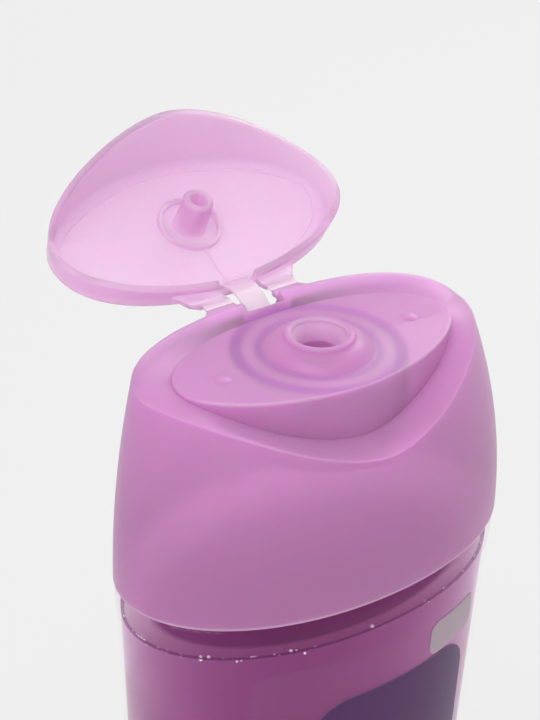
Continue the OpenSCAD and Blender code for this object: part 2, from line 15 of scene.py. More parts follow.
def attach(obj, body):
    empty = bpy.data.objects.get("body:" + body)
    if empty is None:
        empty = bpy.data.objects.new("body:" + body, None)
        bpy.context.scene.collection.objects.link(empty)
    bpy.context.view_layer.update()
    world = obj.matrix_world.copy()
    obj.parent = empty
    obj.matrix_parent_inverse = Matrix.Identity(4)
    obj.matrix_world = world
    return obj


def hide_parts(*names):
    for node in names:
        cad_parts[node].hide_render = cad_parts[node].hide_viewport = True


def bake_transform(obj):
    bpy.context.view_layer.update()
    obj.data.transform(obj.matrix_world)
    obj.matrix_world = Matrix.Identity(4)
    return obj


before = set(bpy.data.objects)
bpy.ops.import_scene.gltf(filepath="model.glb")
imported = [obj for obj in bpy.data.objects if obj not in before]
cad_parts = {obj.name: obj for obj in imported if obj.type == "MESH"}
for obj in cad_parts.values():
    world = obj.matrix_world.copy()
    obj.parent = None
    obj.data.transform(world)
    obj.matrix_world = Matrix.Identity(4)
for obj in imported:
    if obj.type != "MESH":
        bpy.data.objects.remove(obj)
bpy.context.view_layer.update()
MM = 0.001

# %% [markdown]
# The sizes are the ones of the CAD source, in millimetres. Heights on the closure and on the
# lid count from the deck, which is the flat top that carries the nozzle, and lengths count
# from the nozzle's axis. AXIS is a radius so near to nothing that the end of a turned shape
# is closed there, and BEHIND lies past the closure's back wall.

# %% Sizes shared by several pieces
BODY_H, CAP_H = 172.0, 37.7
DECK_Z = BODY_H + CAP_H
TOP_HALF, BODY_POWER = np.array([38.1, 22.5]), 2.05
HINGE_Y, HINGE_Z = 19.8, 1.05
LID_OPEN = 155.5
AXIS, BEHIND, AROUND = 0.001, 30.0, 256
t_around = np.linspace(0, 2 * np.pi, AROUND, endpoint=False)
cos_t, sin_t = np.cos(t_around), np.sin(t_around)
print("deck height, mm:", DECK_Z)

# %% [markdown]
# Every outline of this bottle is an oval whose front and back may be more pointed or more
# square than an ellipse. A superellipse does that with one power for each half: x is the half
# width times cos t to the power 2/p and y is the depth times sin t to the power 2/p, with
# their signs kept. A power under 2 draws the pointed front, and one over 2 the fuller back.

# %% Oval outlines
def signed_power(v, p):
    """The value's size to the power p, with the value's sign."""
    return np.sign(v) * np.abs(v) ** p


def oval(half_w, front_d, back_d, centre_y, front_power, back_power, t=t_around):
    """x = half_w * cos(t)^(2/p), y = centre_y + depth * sin(t)^(2/p), p and depth by the half."""
    front = np.sin(t) < 0
    power = np.where(front, front_power, back_power)
    depth = np.where(front, front_d, back_d)
    return np.stack([half_w * signed_power(np.cos(t), 2 / power),
                     centre_y + depth * signed_power(np.sin(t), 2 / power)], axis=-1)


def even_oval(half, t=t_around):
    """The bottle's section from its half width and half depth, the same in front and behind."""
    return oval(*half, half[1], 0, BODY_POWER, BODY_POWER, t)


def ring(outline, z):
    """An outline of x and y with a height, the same for all points or one for each."""
    return np.column_stack([outline, np.broadcast_to(z, len(outline))])


def mix(a, b, s):
    """a + (b - a) * s, the value at a share s of the way from a to b."""
    return a + (b - a) * s


print("outline points:", len(even_oval(TOP_HALF)))

# %% [markdown]
# A surface is a grid of points. Rows of the grid are rings or the points of a profile, and
# neighbours make quads. One helper turns any such grid into a mesh. It can close the grid in
# either direction, or close the first and last ring with a fan of triangles. The signed
# volumes of the tetrahedra from the origin to each triangle say whether the faces point
# outwards: if their sum is negative, all faces are turned round.

# %% From a grid of points to a closed mesh
def put_mesh(name, points, faces):
    """A new object at the origin with these points, in millimetres, and these faces."""
    thirds = np.array([[f[0], f[k], f[k + 1]] for f in faces for k in range(1, len(f) - 1)])
    a, b, c = (points[thirds[:, k]] for k in range(3))
    if np.einsum("ij,ij->", a, np.cross(b, c)) < 0:
        faces = [f[::-1] for f in faces]
    mesh = bpy.data.meshes.new(name)
    mesh.from_pydata((points * MM).tolist(), [], [f.tolist() for f in faces])
    mesh.update()
    piece = bpy.data.objects.new(name, mesh)
    bpy.context.scene.collection.objects.link(piece)
    return piece


def grid_faces(rows, cols, loop=False):
    """Quads between neighbouring points of closed rows. The last row may meet the first."""
    index = np.arange(rows * cols).reshape(rows, cols)
    if loop:
        index = np.vstack([index, index[:1]])
    index = np.hstack([index, index[:, :1]])
    quads = np.stack([index[:-1, :-1], index[:-1, 1:], index[1:, 1:], index[1:, :-1]], axis=-1)
    return list(quads.reshape(-1, 4))


def skin(name, rings, loop=False):
    """A closed solid over rings: quads between rings, and a fan at each end unless they loop."""
    rings = np.asarray(rings, float)
    rows, cols = rings.shape[:2]
    points = rings.reshape(-1, 3)
    faces = grid_faces(rows, cols, loop)
    if not loop:
        points = np.vstack([points, rings[0].mean(0), rings[-1].mean(0)])
        here, top, centre = np.arange(cols), (rows - 1) * cols, np.full(cols, rows * cols)
        after = np.roll(here, -1)
        faces += list(np.column_stack([after, here, centre]))
        faces += list(np.column_stack([here + top, after + top, centre + 1]))
    return put_mesh(name, points, faces)


def skin_open_ends(name, rings, half):
    """A flat tube whose two ends are closed by quads between its front and back halves."""
    rows, cols = rings.shape[:2]
    faces = grid_faces(rows, cols)
    k = np.arange(half - 1)
    end = np.column_stack([k, k + 1, cols - 2 - k, cols - 1 - k])
    faces += list(end[:, ::-1]) + list(end + (rows - 1) * cols)
    return put_mesh(name, rings.reshape(-1, 3), faces)


def turned(name, profile, loop=False, x=0.0, steps=128):
    """A lathe: each profile point [r, z over the deck] becomes a circle about an upright axis."""
    t = np.linspace(0, 2 * np.pi, steps, endpoint=False)
    r, z = np.array(profile, float).T[:, :, None]
    return skin(name, np.stack([x + r * np.cos(t), r * np.sin(t), DECK_Z + z + 0 * t], axis=-1), loop)


def prism(name, outline, low, high):
    """A straight block: an outline of x and y between two heights over the deck."""
    return skin(name, [ring(outline, DECK_Z + z) for z in (low, high)])


def round_steps(*degrees):
    """(1 - cos a, 1 - sin a) for each angle: how far in and how far down a rounded edge goes."""
    return [(1 - math.cos(a), 1 - math.sin(a)) for a in np.radians(degrees)]


def arc(centre, r, start, end, steps):
    """Points of a circular arc, angles in degrees."""
    a = np.radians(np.linspace(start, end, steps + 1))
    return np.column_stack([centre[0] + r * np.cos(a), centre[1] + r * np.sin(a)])


# %% [markdown]
# A moulding is one solid with many features. Each feature is simple by itself, so they are
# made one by one and joined or cut with Boolean modifiers. The result is read back as one
# plain mesh. Edges that turn by more than a given angle stay crisp, and all others are
# shaded smooth.

# %% Joining and cutting
def settle(piece, crease=32):
    """Bakes the piece's modifiers into its mesh, and sets smooth faces and crisp edges."""
    graph = bpy.context.evaluated_depsgraph_get()
    mesh = bpy.data.meshes.new_from_object(piece.evaluated_get(graph))
    piece.modifiers.clear()
    old, piece.data = piece.data, mesh
    bpy.data.meshes.remove(old)
    mesh.name = piece.name
    mesh.shade_smooth()
    mesh.set_sharp_from_angle(angle=math.radians(crease))
    return piece


def carve(piece, *steps):
    """Applies (operation, tool) pairs in order and deletes the tools."""
    for operation, tool in steps:
        boolean = piece.modifiers.new(tool.name, "BOOLEAN")
        boolean.operation = operation
        boolean.solver = "MANIFOLD"
        boolean.object = tool
    settle(piece)
    for tool in {tool for _, tool in steps}:
        bpy.data.objects.remove(tool)
    print(piece.name, "faces:", len(piece.data.polygons))
    return piece


# %% [markdown]
# ## The closure
# The closure is one moulding: a thin outer shell that leans in towards a sharp rim, a ledge
# that slopes from the rim down to a raised deck, and in front a deep recess for the thumb.
# The rim and the foot of the deck's step are height functions of the angle: they drop where
# sin t is negative, which is the front, with a power that keeps the drop narrow.

# %% Outlines and heights of the closure
LOW_HALF = np.array([38.3, 22.7])
CAP_WALL, DECK_T, LIP, EDGE_R, RIM_R = 1.3, 1.3, 0.8, 0.35, 0.3
RIM_HALF_W, RIM_FRONT, RIM_BACK, RIM_Y, RIM_POWERS = 33.3, 23.9, 14.1, 3.0, (1.76, 2.37)
DECK_HALF_W, DECK_FRONT, DECK_BACK, DECK_POWERS = 27.6, 14.0, 13.7, (1.75, 2.2)
RIM_SIDE_Z, RIM_DIP, RIM_RISE = -1.0, 9.3, 2.8
FOOT_SIDE_Z, FOOT_DIP = -0.6, 9.0


def rim_outline(inset=0.0):
    """The rim: pointed in front, squarer behind, its widest place 3 mm behind the nozzle."""
    return oval(RIM_HALF_W - inset, RIM_FRONT - inset, RIM_BACK - inset, RIM_Y, *RIM_POWERS)


def deck_outline(inset=0.0):
    """The deck's edge: a lens about the nozzle."""
    return oval(DECK_HALF_W - inset, DECK_FRONT - inset, DECK_BACK - inset, 0, *DECK_POWERS)


def front_dip(power):
    """(-sin t)^power on the front half and nothing behind."""
    return np.where(sin_t < 0, np.abs(sin_t) ** power, 0)


def rim_height():
    """1 mm under the deck at the sides, 10.3 mm under it in front, 1.8 mm over it behind."""
    rise = np.where(sin_t > 0, 1 - np.abs(1 - sin_t) ** 1.2, 0)
    return RIM_SIDE_Z - RIM_DIP * front_dip(3.1) + RIM_RISE * rise


def foot_height():
    """Foot of the deck's step: 0.6 mm under the deck all round and 9.6 mm in front."""
    return FOOT_SIDE_Z - FOOT_DIP * front_dip(2.3)


def wall_ring(v, inset, drop):
    """Shell wall at a share v of its height: the outline goes from low to rim as v^2.1."""
    outline = mix(even_oval(LOW_HALF - inset), rim_outline(inset), v ** 2.1)
    return ring(outline, DECK_Z + mix(-CAP_H, rim_height() - drop, v))


def ledge_ring(s, inset, drop):
    """Ledge at a share s of the way from the rim's lip to the foot of the deck's step."""
    outline = mix(rim_outline(LIP + inset), deck_outline(inset), s)
    return ring(outline, DECK_Z + mix(rim_height(), foot_height(), s) - drop)


print("lowest of the rim over the deck, mm:", round(float(rim_height().min()), 2))

# %% Outside of the shell
LOW_EDGE = 0.3


def closure_outside():
    """Rings up the wall, over the rounded rim, down the ledge, up the deck's step to its top."""
    foot = [wall_ring(0, LOW_EDGE * a, 0) + [0, 0, LOW_EDGE * b] for a, b in round_steps(90, 60, 30, 0)]
    wall = [wall_ring(v, 0, RIM_R) for v in np.linspace(0, 1, 56)[1:]]
    rim = [ring(rim_outline(RIM_R * a), DECK_Z + rim_height() - RIM_R * b)
           for a, b in round_steps(22, 45, 68, 90)]
    ledge = [ledge_ring(s, 0, 0) for s in np.linspace(0, 1, 22)]
    step = [ring(deck_outline(), DECK_Z + mix(foot_height(), -EDGE_R, s)) for s in np.linspace(0, 1, 9)[1:]]
    edge = [ring(deck_outline(EDGE_R * a), DECK_Z - EDGE_R * b) for a, b in round_steps(18, 36, 54, 72, 90)]
    return skin("closure", foot + wall + rim + ledge + step + edge)


def closure_room():
    """The hollow under the shell, one wall thickness inside it and under the deck."""
    mouth = wall_ring(0, CAP_WALL, 0) - [0, 0, 1]
    wall = [wall_ring(v, CAP_WALL, DECK_T) for v in np.linspace(0.06, 0.97, 22)]
    ledge = [ledge_ring(s, CAP_WALL, DECK_T) for s in np.linspace(0, 1, 12)]
    top = ring(deck_outline(CAP_WALL + 0.01), DECK_Z - DECK_T)
    return skin("closure_room", [mouth] + wall + ledge + [top])


closure = closure_outside()
room = closure_room()
print("closure grid faces:", len(closure.data.polygons))

# %% [markdown]
# Under the deck hang two rings that show through the frosted plastic: the skirt that snaps
# over the bottle's neck, and the plug that seals inside it. On the deck stand the nozzle and
# two small bumps that the closed lid rests on. All are turned shapes, and each starts a
# little inside what carries it, because two faces in one plane are hard to join.

# %% Turned features under and on the deck
SKIRT_R, SKIRT_IN, SKIRT_L, PLUG_R, PLUG_IN, PLUG_L = 15.1, 13.0, 15.0, 10.9, 9.6, 6.0
NOZZLE_R, NOZZLE_LIP_R, NOZZLE_LIP_HALF, NOZZLE_H = 9.4, 5.4, 0.75, 3.0
ORIFICE_R, DISH_R, DISH_Z = 3.1, 4.66, 2.25
BUMP_X, BUMP_R, BUMP_H = 19.5, 1.5, 0.45
INTO = 0.3


def hanging_tube(name, outer, inner, top, length, bevel, steps=128):
    """An upright tube that hangs from a height above the deck and reaches a little into what
    carries it. The two edges at its low end are bevelled."""
    high, low = top + INTO, top - length
    return turned(name, [[inner, high], [inner, low + bevel], [inner + bevel, low], [outer - bevel, low],
                         [outer, low + bevel], [outer, high]], loop=True, steps=steps)


def nozzle_solid():
    """Outside of the nozzle: a small fillet at its foot, a bowed cone and a rounded lip."""
    lip_z = NOZZLE_H - NOZZLE_LIP_HALF
    s = np.linspace(0.06, 0.92, 12)
    flank = np.column_stack([mix(NOZZLE_R, NOZZLE_LIP_R + NOZZLE_LIP_HALF, s),
                             mix(0, lip_z, s) + 0.35 * np.sin(np.pi * s)])
    under = [[AXIS, -2.4], [4.4, -2.4], [4.4, -1.2], [NOZZLE_R, -1.2]]
    fillet = [[NOZZLE_R + 0.35, -0.05], [NOZZLE_R + 0.1, 0.04], [NOZZLE_R - 0.08, 0.14]]
    lip = arc((NOZZLE_LIP_R, lip_z), NOZZLE_LIP_HALF, 10, 180, 14)
    profile = np.vstack([under, fillet, flank[1:], lip, [[AXIS, lip_z]]])
    return turned("nozzle", profile, steps=192)


def nozzle_bore():
    """Inside of the nozzle: a curved dish that runs down into the orifice."""
    s = np.linspace(0, 1, 12)[:, None]
    low, bend, high = np.array([[ORIFICE_R, -0.6], [ORIFICE_R + 0.15, 1.1], [DISH_R, DISH_Z]])
    dish = mix(mix(low, bend, s), mix(bend, high, s), s)
    over = NOZZLE_H + INTO
    profile = np.vstack([[[AXIS, -4], [ORIFICE_R, -4]], dish, [[DISH_R, over], [AXIS, over]]])
    return turned("nozzle_bore", profile, steps=192)


def rest_bump(x):
    """A low cap of a ball, whose radius is (r^2 + h^2) / (2 h) for a cap of radius r and height h."""
    ball = (BUMP_R ** 2 + BUMP_H ** 2) / (2 * BUMP_H)
    a = np.radians(np.linspace(42, 0.3, 14))
    cap = np.column_stack([ball * np.sin(a), BUMP_H - ball + ball * np.cos(a)])
    return turned("bump", np.vstack([[[AXIS, cap[0, 1]]], cap]), x=x, steps=48)


# %% [markdown]
# Behind the rim a flat seat carries the two film hinges, and a notch in the middle lets the
# centre strap bend down. The seat is a trapezoid on each side, wide on the wall and narrow at
# the hinge line.

# %% Hinge seat and notch
FILM_X0, FILM_X1, LUG_X1, LUG_T, TIP_Y = 4.0, 9.7, 13.0, 1.1, HINGE_Y - 0.6
SEAT_Y, SEAT_END_Y, LID_LUG_Y, LID_LUG_END_Y = 15.8, 15.5, 15.825, 14.575
HINGE_GAP, NOTCH_HALF, NOTCH_Y, NOTCH_DROP, OVER_RIM, SOFT_EDGE = 0.15, 3.9, 15.2, 1.6, 6.0, 0.15


def soften(piece):
    """Rounds every edge of a block a little, as a mould does."""
    bevel = piece.modifiers.new("soft_edges", "BEVEL")
    bevel.width, bevel.segments, bevel.limit_method = SOFT_EDGE * MM, 2, "ANGLE"
    return settle(piece)


def lug(name, side, wall_y, wall_end_y, low, high):
    """A trapezoid plate on one side between two heights over the deck."""
    outline = np.array([[FILM_X0, wall_y], [LUG_X1, wall_end_y], [FILM_X1, TIP_Y], [FILM_X0, TIP_Y]])
    return prism(name, outline * [side, 1], low, high)


def notch_block(name, side_wall, front_wall, low, high):
    """The notch, wider by a wall at its sides and its front, between two heights over the deck."""
    x, y = NOTCH_HALF + side_wall, NOTCH_Y - front_wall
    return prism(name, [[-x, y], [x, y], [x, BEHIND], [-x, BEHIND]], low, high)


def closure_tools():
    """The features of the closure with what each does to it, in the order of the mould."""
    seat_z = HINGE_Z - HINGE_GAP
    seats = [soften(lug("seat", side, SEAT_Y, SEAT_END_Y, seat_z - LUG_T, seat_z)) for side in (1, -1)]
    added = [nozzle_solid(), rest_bump(-BUMP_X), rest_bump(BUMP_X), *seats]
    cut = [nozzle_bore(), notch_block("notch", 0, 0, -NOTCH_DROP, OVER_RIM)]
    return [("UNION", piece) for piece in added] + [("DIFFERENCE", piece) for piece in cut]


neck_low = -SKIRT_L - 1
neck_room = turned("neck_room", [[AXIS, neck_low], [SKIRT_IN, neck_low], [SKIRT_IN, -DECK_T],
                                 [AXIS, -DECK_T]])
carve(room, ("UNION", neck_room),
      ("DIFFERENCE", hanging_tube("skirt", SKIRT_R, SKIRT_IN, -DECK_T, SKIRT_L - DECK_T, 0.2)),
      ("DIFFERENCE", hanging_tube("plug", PLUG_R, PLUG_IN, -DECK_T, PLUG_L - DECK_T, 0.2)),
      ("DIFFERENCE", notch_block("notch_walls", CAP_WALL, CAP_WALL, -NOTCH_DROP - DECK_T, OVER_RIM)))
carve(closure, ("DIFFERENCE", room), *closure_tools())

# %% [markdown]
# ## The lid
# The lid is worked out shut, over the deck, and then turned back about the hinge line. Its
# foot stands 0.4 mm over the ledge, so its rim repeats the ledge's dip. The whole shell is
# one skin that starts under the plate, comes down the inside, goes round the rim and climbs
# the outside, so no Boolean is needed for it.

# %% Lid outlines
LID_GAP, LID_WALL, PLATE_Z, PLATE_T, LID_EDGE = 0.4, 1.25, 4.6, 1.3, 1.8
PLATE_STEP, PLATE_FILLET, LID_RIM_H = 0.25, 1.0, 0.2
LID_TOP = PLATE_Z + PLATE_T


def ledge_share(out):
    """Share of the way from the deck's step to the rim, pushed out by 1.1 sin^2 t at the back."""
    back = 1.1 * np.where(sin_t > 0, sin_t ** 2, 0)
    span = np.linalg.norm(rim_outline(LIP) - deck_outline(), axis=1)
    return (out + back) / span


def lid_outline(out):
    """The point of the ledge at that share, for a distance out from the deck's step."""
    return mix(deck_outline(), rim_outline(LIP), ledge_share(out)[:, None])


def lid_rim_height(out):
    """Height of the ledge under the lid's rim, plus the gap."""
    return mix(foot_height(), rim_height(), np.minimum(1, ledge_share(out))) + LID_GAP


def lid_ring(out, z):
    """The lid's outline at a height over the deck, one for all points or one for each."""
    return ring(lid_outline(out), DECK_Z + z)


def lid_wall_ring(out, rise, top, lift):
    """Lid wall between its rim at rise 0 and a height at rise 1. Left and right its rim flares
    out by 0.9 |cos t|^4."""
    height = mix(lid_rim_height(out) + lift, top, rise)
    return lid_ring(out + 0.9 * (1 - rise) * np.abs(cos_t) ** 4, height)


def lid_shell():
    """Underside of the plate, inner wall, rounded rim, outer wall, rounded edge, top."""
    out, step_z, round_z = LID_GAP + LID_WALL, PLATE_Z - PLATE_STEP, LID_TOP - LID_EDGE
    flat = LID_GAP - 2.3
    under = [lid_ring(flat + in_by, z)
             for in_by, z in ((0, PLATE_Z), (0.1, PLATE_Z - 0.03), (0.25, step_z))]
    fillet = [lid_ring(LID_GAP - PLATE_FILLET * a, step_z - PLATE_FILLET * b)
              for a, b in round_steps(90, 70, 50, 30, 12)]
    inner = [lid_wall_ring(LID_GAP, rise, step_z - PLATE_FILLET, LID_RIM_H)
             for rise in np.linspace(1, 0, 14)]
    edge = [(0.06, 0.06), (0.2, 0), (0.6, 0), (1.05, 0), (1.19, 0.06)]
    rim = [lid_wall_ring(LID_GAP + o, 0, 0, lift) for o, lift in edge]
    outer = [lid_wall_ring(out, rise, round_z, LID_RIM_H) for rise in np.linspace(0, 1, 18)]
    over = [lid_ring(out - LID_EDGE * a, LID_TOP - LID_EDGE * b)
            for a, b in round_steps(11, 22, 34, 45, 56, 68, 79, 90)]
    return skin("lid", under + fillet + inner + rim + outer + over)


lid = lid_shell()
print("lid grid faces:", len(lid.data.polygons))

# %% [markdown]
# Joined to the shell are the pin that plugs the orifice, the ring round it, a flow rib and
# the hinge lugs.

# %% Pin, ring, rib and lugs
PIN_L, PIN_R, PIN_HOLE_R, PIN_FLOOR = 7.2, 2.98, 1.5, 0.4
RING_R, RING_IN, RING_H = 5.9, 5.1, 1.0
RIB_HALF, RIB_H, RIB_Y0, RIB_Y1 = 0.35, 0.42, 5.4, 13.7
CRANK_Y, LUG_ROOT_Y, LUG_CLEAR = 17.4, 13.7, 0.6


def sealing_pin():
    """A hollow tapered pin with a rounded end, hanging from the plate."""
    top, end, floor_z = PLATE_Z + INTO, PLATE_Z - PIN_L, PLATE_Z - PIN_FLOOR
    root = [[AXIS, top], [PIN_R + 0.17, top], [PIN_R + 0.17, PLATE_Z], [PIN_R, PLATE_Z - 0.25]]
    tip = [[2.75, end + 0.6], [2.66, end + 0.3], [2.45, end + 0.06], [2.2, end], [1.7, end]]
    hole = [[PIN_HOLE_R + 0.05, end + 0.1], [PIN_HOLE_R, end + 0.3], [PIN_HOLE_R, floor_z], [AXIS, floor_z]]
    return turned("pin", root + tip + hole, steps=96)


def block_along(name, axis, ends, section):
    """A block between two places on x (0) or y (1). Its section is the other one and the height
    above the deck."""
    section = np.asarray(section, float) + [0, DECK_Z]
    return skin(name, [np.insert(section, axis, end, axis=1) for end in ends])


def flow_rib():
    """A thin rib with a rounded back from the ring towards the strap."""
    a = np.radians(np.linspace(180, 360, 9))
    back = np.column_stack([RIB_HALF * np.cos(a), PLATE_Z + 0.05 + RIB_H * np.sin(a)])
    section = np.vstack([back, [[RIB_HALF, PLATE_Z + INTO], [-RIB_HALF, PLATE_Z + INTO]]])
    return block_along("flow_rib", 1, (RIB_Y0, RIB_Y1), section)


def lid_lugs():
    """Cranked lugs: over the closure's rim and down to the film hinges."""
    over, low = RIM_SIDE_Z + RIM_RISE + LUG_CLEAR, HINGE_Z + HINGE_GAP
    below = np.array([[LUG_ROOT_Y, over], [CRANK_Y, over], [TIP_Y, low]])
    wall = np.vstack([below, below[::-1] + [0, LUG_T]])
    lugs = []
    for side in (1, -1):
        plate = lug("lid_lug", side, LID_LUG_Y, LID_LUG_END_Y, 0, OVER_RIM)
        ends = sorted((side * (FILM_X0 - 1), side * (LUG_X1 + 1)))
        carve(plate, ("INTERSECT", block_along("crank", 0, ends, wall)))
        lugs.append(soften(plate))
    return lugs


lid_notch = notch_block("lid_notch", 0, LID_WALL, 0, PLATE_Z - PLATE_STEP / 2)
added = [sealing_pin(), hanging_tube("seal_ring", RING_R, RING_IN, PLATE_Z, RING_H, 0.15, 192), flow_rib()]
carve(lid, ("DIFFERENCE", lid_notch), *[("UNION", piece) for piece in added + lid_lugs()])

# %% [markdown]
# The lid now turns back by its opening angle. A point keeps its x, and its place about the
# hinge line turns: y' = y cos a + z sin a and z' = z cos a - y sin a. The turn goes into the
# mesh, so the object itself stays at the origin.

# %% Opening the lid
hinge_line = Vector((0, HINGE_Y, DECK_Z + HINGE_Z)) * MM
turn_back = (Matrix.Translation(hinge_line) @ Matrix.Rotation(math.radians(-LID_OPEN), 4, "X")
             @ Matrix.Translation(-hinge_line))
lid.data.transform(turn_back)


def turned_back(point):
    """A place [y, z] above the deck after the lid has opened."""
    y, z = point[0] - HINGE_Y, point[1] - HINGE_Z
    c, s = math.cos(math.radians(LID_OPEN)), math.sin(math.radians(LID_OPEN))
    return np.array([HINGE_Y + y * c + z * s, HINGE_Z + z * c - y * s])


print("lid top, mm:", round(max(v.co.z for v in lid.data.vertices) / MM, 1))

# %% [markdown]
# ## The hinges
# The lid bends on two short webs of very thin plastic, and a bowed strap in the middle keeps
# it open or shut. They are the same moulding, but so thin that they look almost clear. Each
# is a strip with a section of its own that is carried across, and each runs from the base
# to the lid as it stands open.

# %% Strap and film hinges
def strip(name, x0, x1, line, thickness, columns=12):
    """A band across x: the middle line of y and z, moved half a thickness to either side."""
    line = np.asarray(line, float)
    slope = np.gradient(line, axis=0)
    normal = np.column_stack([-slope[:, 1], slope[:, 0]]) / np.linalg.norm(slope, axis=1)[:, None]
    half = (np.broadcast_to(thickness, len(line)) / 2)[:, None]
    loop = np.vstack([line + normal * half, (line - normal * half)[::-1]]) + [0, DECK_Z]
    edge = np.sin(np.linspace(-np.pi / 2, np.pi / 2, columns))
    xs = mix(x0, x1, (edge + 1) / 2)
    return skin_open_ends(name, np.array([np.insert(loop, 0, x, axis=1) for x in xs]), len(line))


def bow(start, middle, end, steps=30):
    """A quadratic curve: two mixes of its three points, mixed again by the same share."""
    s = np.linspace(0, 1, steps + 1)[:, None]
    start, middle, end = map(np.asarray, (start, middle, end))
    return mix(mix(start, middle, s), mix(middle, end, s), s)


STRAP_HALF, STRAP_T, STRAP_ROOT_T, WEB_T = 2.5, 0.5, 0.25, 0.4
strap_foot, strap_bow = [17.15, -1.5], [HINGE_Y + 1.6, HINGE_Z + 2.1]
strap_land = turned_back([14.4, 4.65])
strap_line = bow(strap_foot, strap_bow, strap_land)
along = np.linspace(0, 1, len(strap_line))
strap_t = STRAP_T + STRAP_ROOT_T * np.abs(2 * along - 1) ** 4
strap = strip("strap", -STRAP_HALF, STRAP_HALF, strap_line, strap_t)
web_start, web_end = [TIP_Y - 0.1, HINGE_Z - 0.35], turned_back([TIP_Y - 0.1, HINGE_Z + 0.35])
web_line = bow(web_start, [HINGE_Y + 0.05, HINGE_Z - 0.3], web_end, 10)
webs = [strip(name, x, x + FILM_X1 - FILM_X0, web_line, WEB_T)
        for name, x in (("web_left", -FILM_X1), ("web_right", FILM_X0))]
for piece in [strap] + webs:
    settle(piece, crease=50)
print("strap landing y, z:", strap_land.round(2))

# %% [markdown]
# ## The bottle
# A blown bottle has the same wall everywhere, so its outside and inside are one skin: up the
# outside from the foot to the neck, over the neck's top and down the inside to the floor. The
# half width narrows to a waist and widens again towards the closure.

# %% Bottle
WALL, SHOULDER_TOP, NECK_TOP = 0.8, 192.1, 208.1
NECK_R, BORE_R, FOOT_R, STEP_R, COLLAR_IN, COLLAR_H = 12.4, 10.95, 5.0, 1.6, 1.4, 5.0
BEAD, BEAD_Z = 0.45, NECK_TOP - 4
WAIST_Z, WAIST_IN, FOOT_OUT = 80.0, np.array([3.5, 2.1]), np.array([1.4, 1.0])
unit_circle = np.column_stack([cos_t, sin_t])


def body_half(z):
    """Half width and half depth: a square law below the waist and a power 1.4 above it."""
    below = max(0, (WAIST_Z - z) / WAIST_Z) ** 2
    above = max(0, (z - WAIST_Z) / (BODY_H - WAIST_Z)) ** 1.4
    return TOP_HALF - WAIST_IN * (1 - above) + FOOT_OUT * below


def body_ring(z, inset):
    """The bottle's section at a height, moved in by an inset."""
    return ring(even_oval(body_half(z) - inset), z)


def shoulder_ring(s, inset, end_r, drop):
    """From the collar at s = 0 to a circle round the neck at s = 1, along a quarter of an ellipse."""
    a = s * np.pi / 2
    outline = mix(even_oval(TOP_HALF - COLLAR_IN - inset), end_r * unit_circle, 1 - math.cos(a))
    return ring(outline, mix(BODY_H + COLLAR_H, SHOULDER_TOP, math.sin(a)) - drop)


def body_side(inset, top):
    """Rings up the rounded foot and the side, moved in by an inset. The foot is a quarter of an
    ellipse, as high as its radius less the inset."""
    foot = [body_ring(inset + (FOOT_R - inset) * a, inset + FOOT_R * b)
            for a, b in round_steps(*np.linspace(0, 90, 9))]
    side = [body_ring(z, inset) for z in np.linspace(FOOT_R, top, 46)[1:]]
    return foot + side


def bottle_skin():
    """Outside rings, neck with its snap bead, inside rings in reverse. An attribute holds 1 on
    the outside below the closure, which is the plastic that meets open air."""
    edge = BODY_H - 0.3
    step = [body_ring(edge - STEP_R * b, COLLAR_IN * a) for a, b in round_steps(*np.linspace(0, 90, 9))]
    shoulder = [shoulder_ring(s, 0, NECK_R + 0.4, 0) for s in np.linspace(0, 1, 14)]
    neck = [ring(r * unit_circle, z) for r, z in (
        (NECK_R + 0.1, SHOULDER_TOP + 0.1), (NECK_R, SHOULDER_TOP + 0.5), (NECK_R, BEAD_Z - 2.4),
        (NECK_R + BEAD, BEAD_Z - 1.6), (NECK_R + BEAD, BEAD_Z - 1), (NECK_R, BEAD_Z),
        (NECK_R, NECK_TOP - 0.3), (NECK_R - 0.3, NECK_TOP), (BORE_R + 0.3, NECK_TOP),
        (BORE_R, NECK_TOP - 0.3), (BORE_R, SHOULDER_TOP - 0.4))]
    inner_shoulder = [shoulder_ring(s, WALL, BORE_R + 0.3, WALL) for s in np.linspace(1, 0, 14)]
    inner_side = body_side(WALL, BODY_H - 3.2)[::-1]
    inner_step = [body_ring(BODY_H - 0.9, COLLAR_IN + WALL), body_ring(BODY_H - 2, 0.5 * COLLAR_IN + WALL)]
    outside = body_side(0, edge - STEP_R) + step
    shell = skin("bottle_shell", outside + shoulder + neck + inner_shoulder + inner_step + inner_side)
    open_air = np.zeros(len(shell.data.vertices))
    open_air[:len(outside) * AROUND] = 1
    shell.data.attributes.new("open_air", "FLOAT", "POINT").data.foreach_set("value", open_air)
    return shell


bottle = settle(bottle_skin())
print("bottle faces:", len(bottle.data.polygons))

# %% [markdown]
# The gel wets the bottle, so there is no air between them. Its side goes a hair's breadth
# into the wall, so that no gap shows, and its top climbs the wall a little, as any liquid
# does.

# %% Gel with its meniscus
GEL_Z, GEL_INSET, CLIMB_H, CLIMB_L = BODY_H - 6.5, WALL - 0.04, 0.9, 1.2


def gel_skin():
    """The bottle's inside up to the gel's level. A distance d from the wall the top is lower by
    the climb's height times 1 - exp(-d / climb's length)."""
    top = [body_ring(GEL_Z, GEL_INSET + d) - [0, 0, CLIMB_H * (1 - math.exp(-d / CLIMB_L))]
           for d in (0.15, 0.4, 0.8, 1.3, 2, 3, 5, 8)]
    return skin("gel", body_side(GEL_INSET, GEL_Z) + top)


gel = settle(gel_skin())
print("gel faces:", len(gel.data.polygons))

# %% [markdown]
# Fine bubbles gather along the gel's edge. Each is a small ball, and all of them are one
# mesh: the ball's grid is computed once, and an array of centres and radii moves and scales
# it. They are drawn with a fixed seed, so every run gives the same ones. The cube of an even
# random number is mostly near nothing, so most bubbles are small and close under the surface.

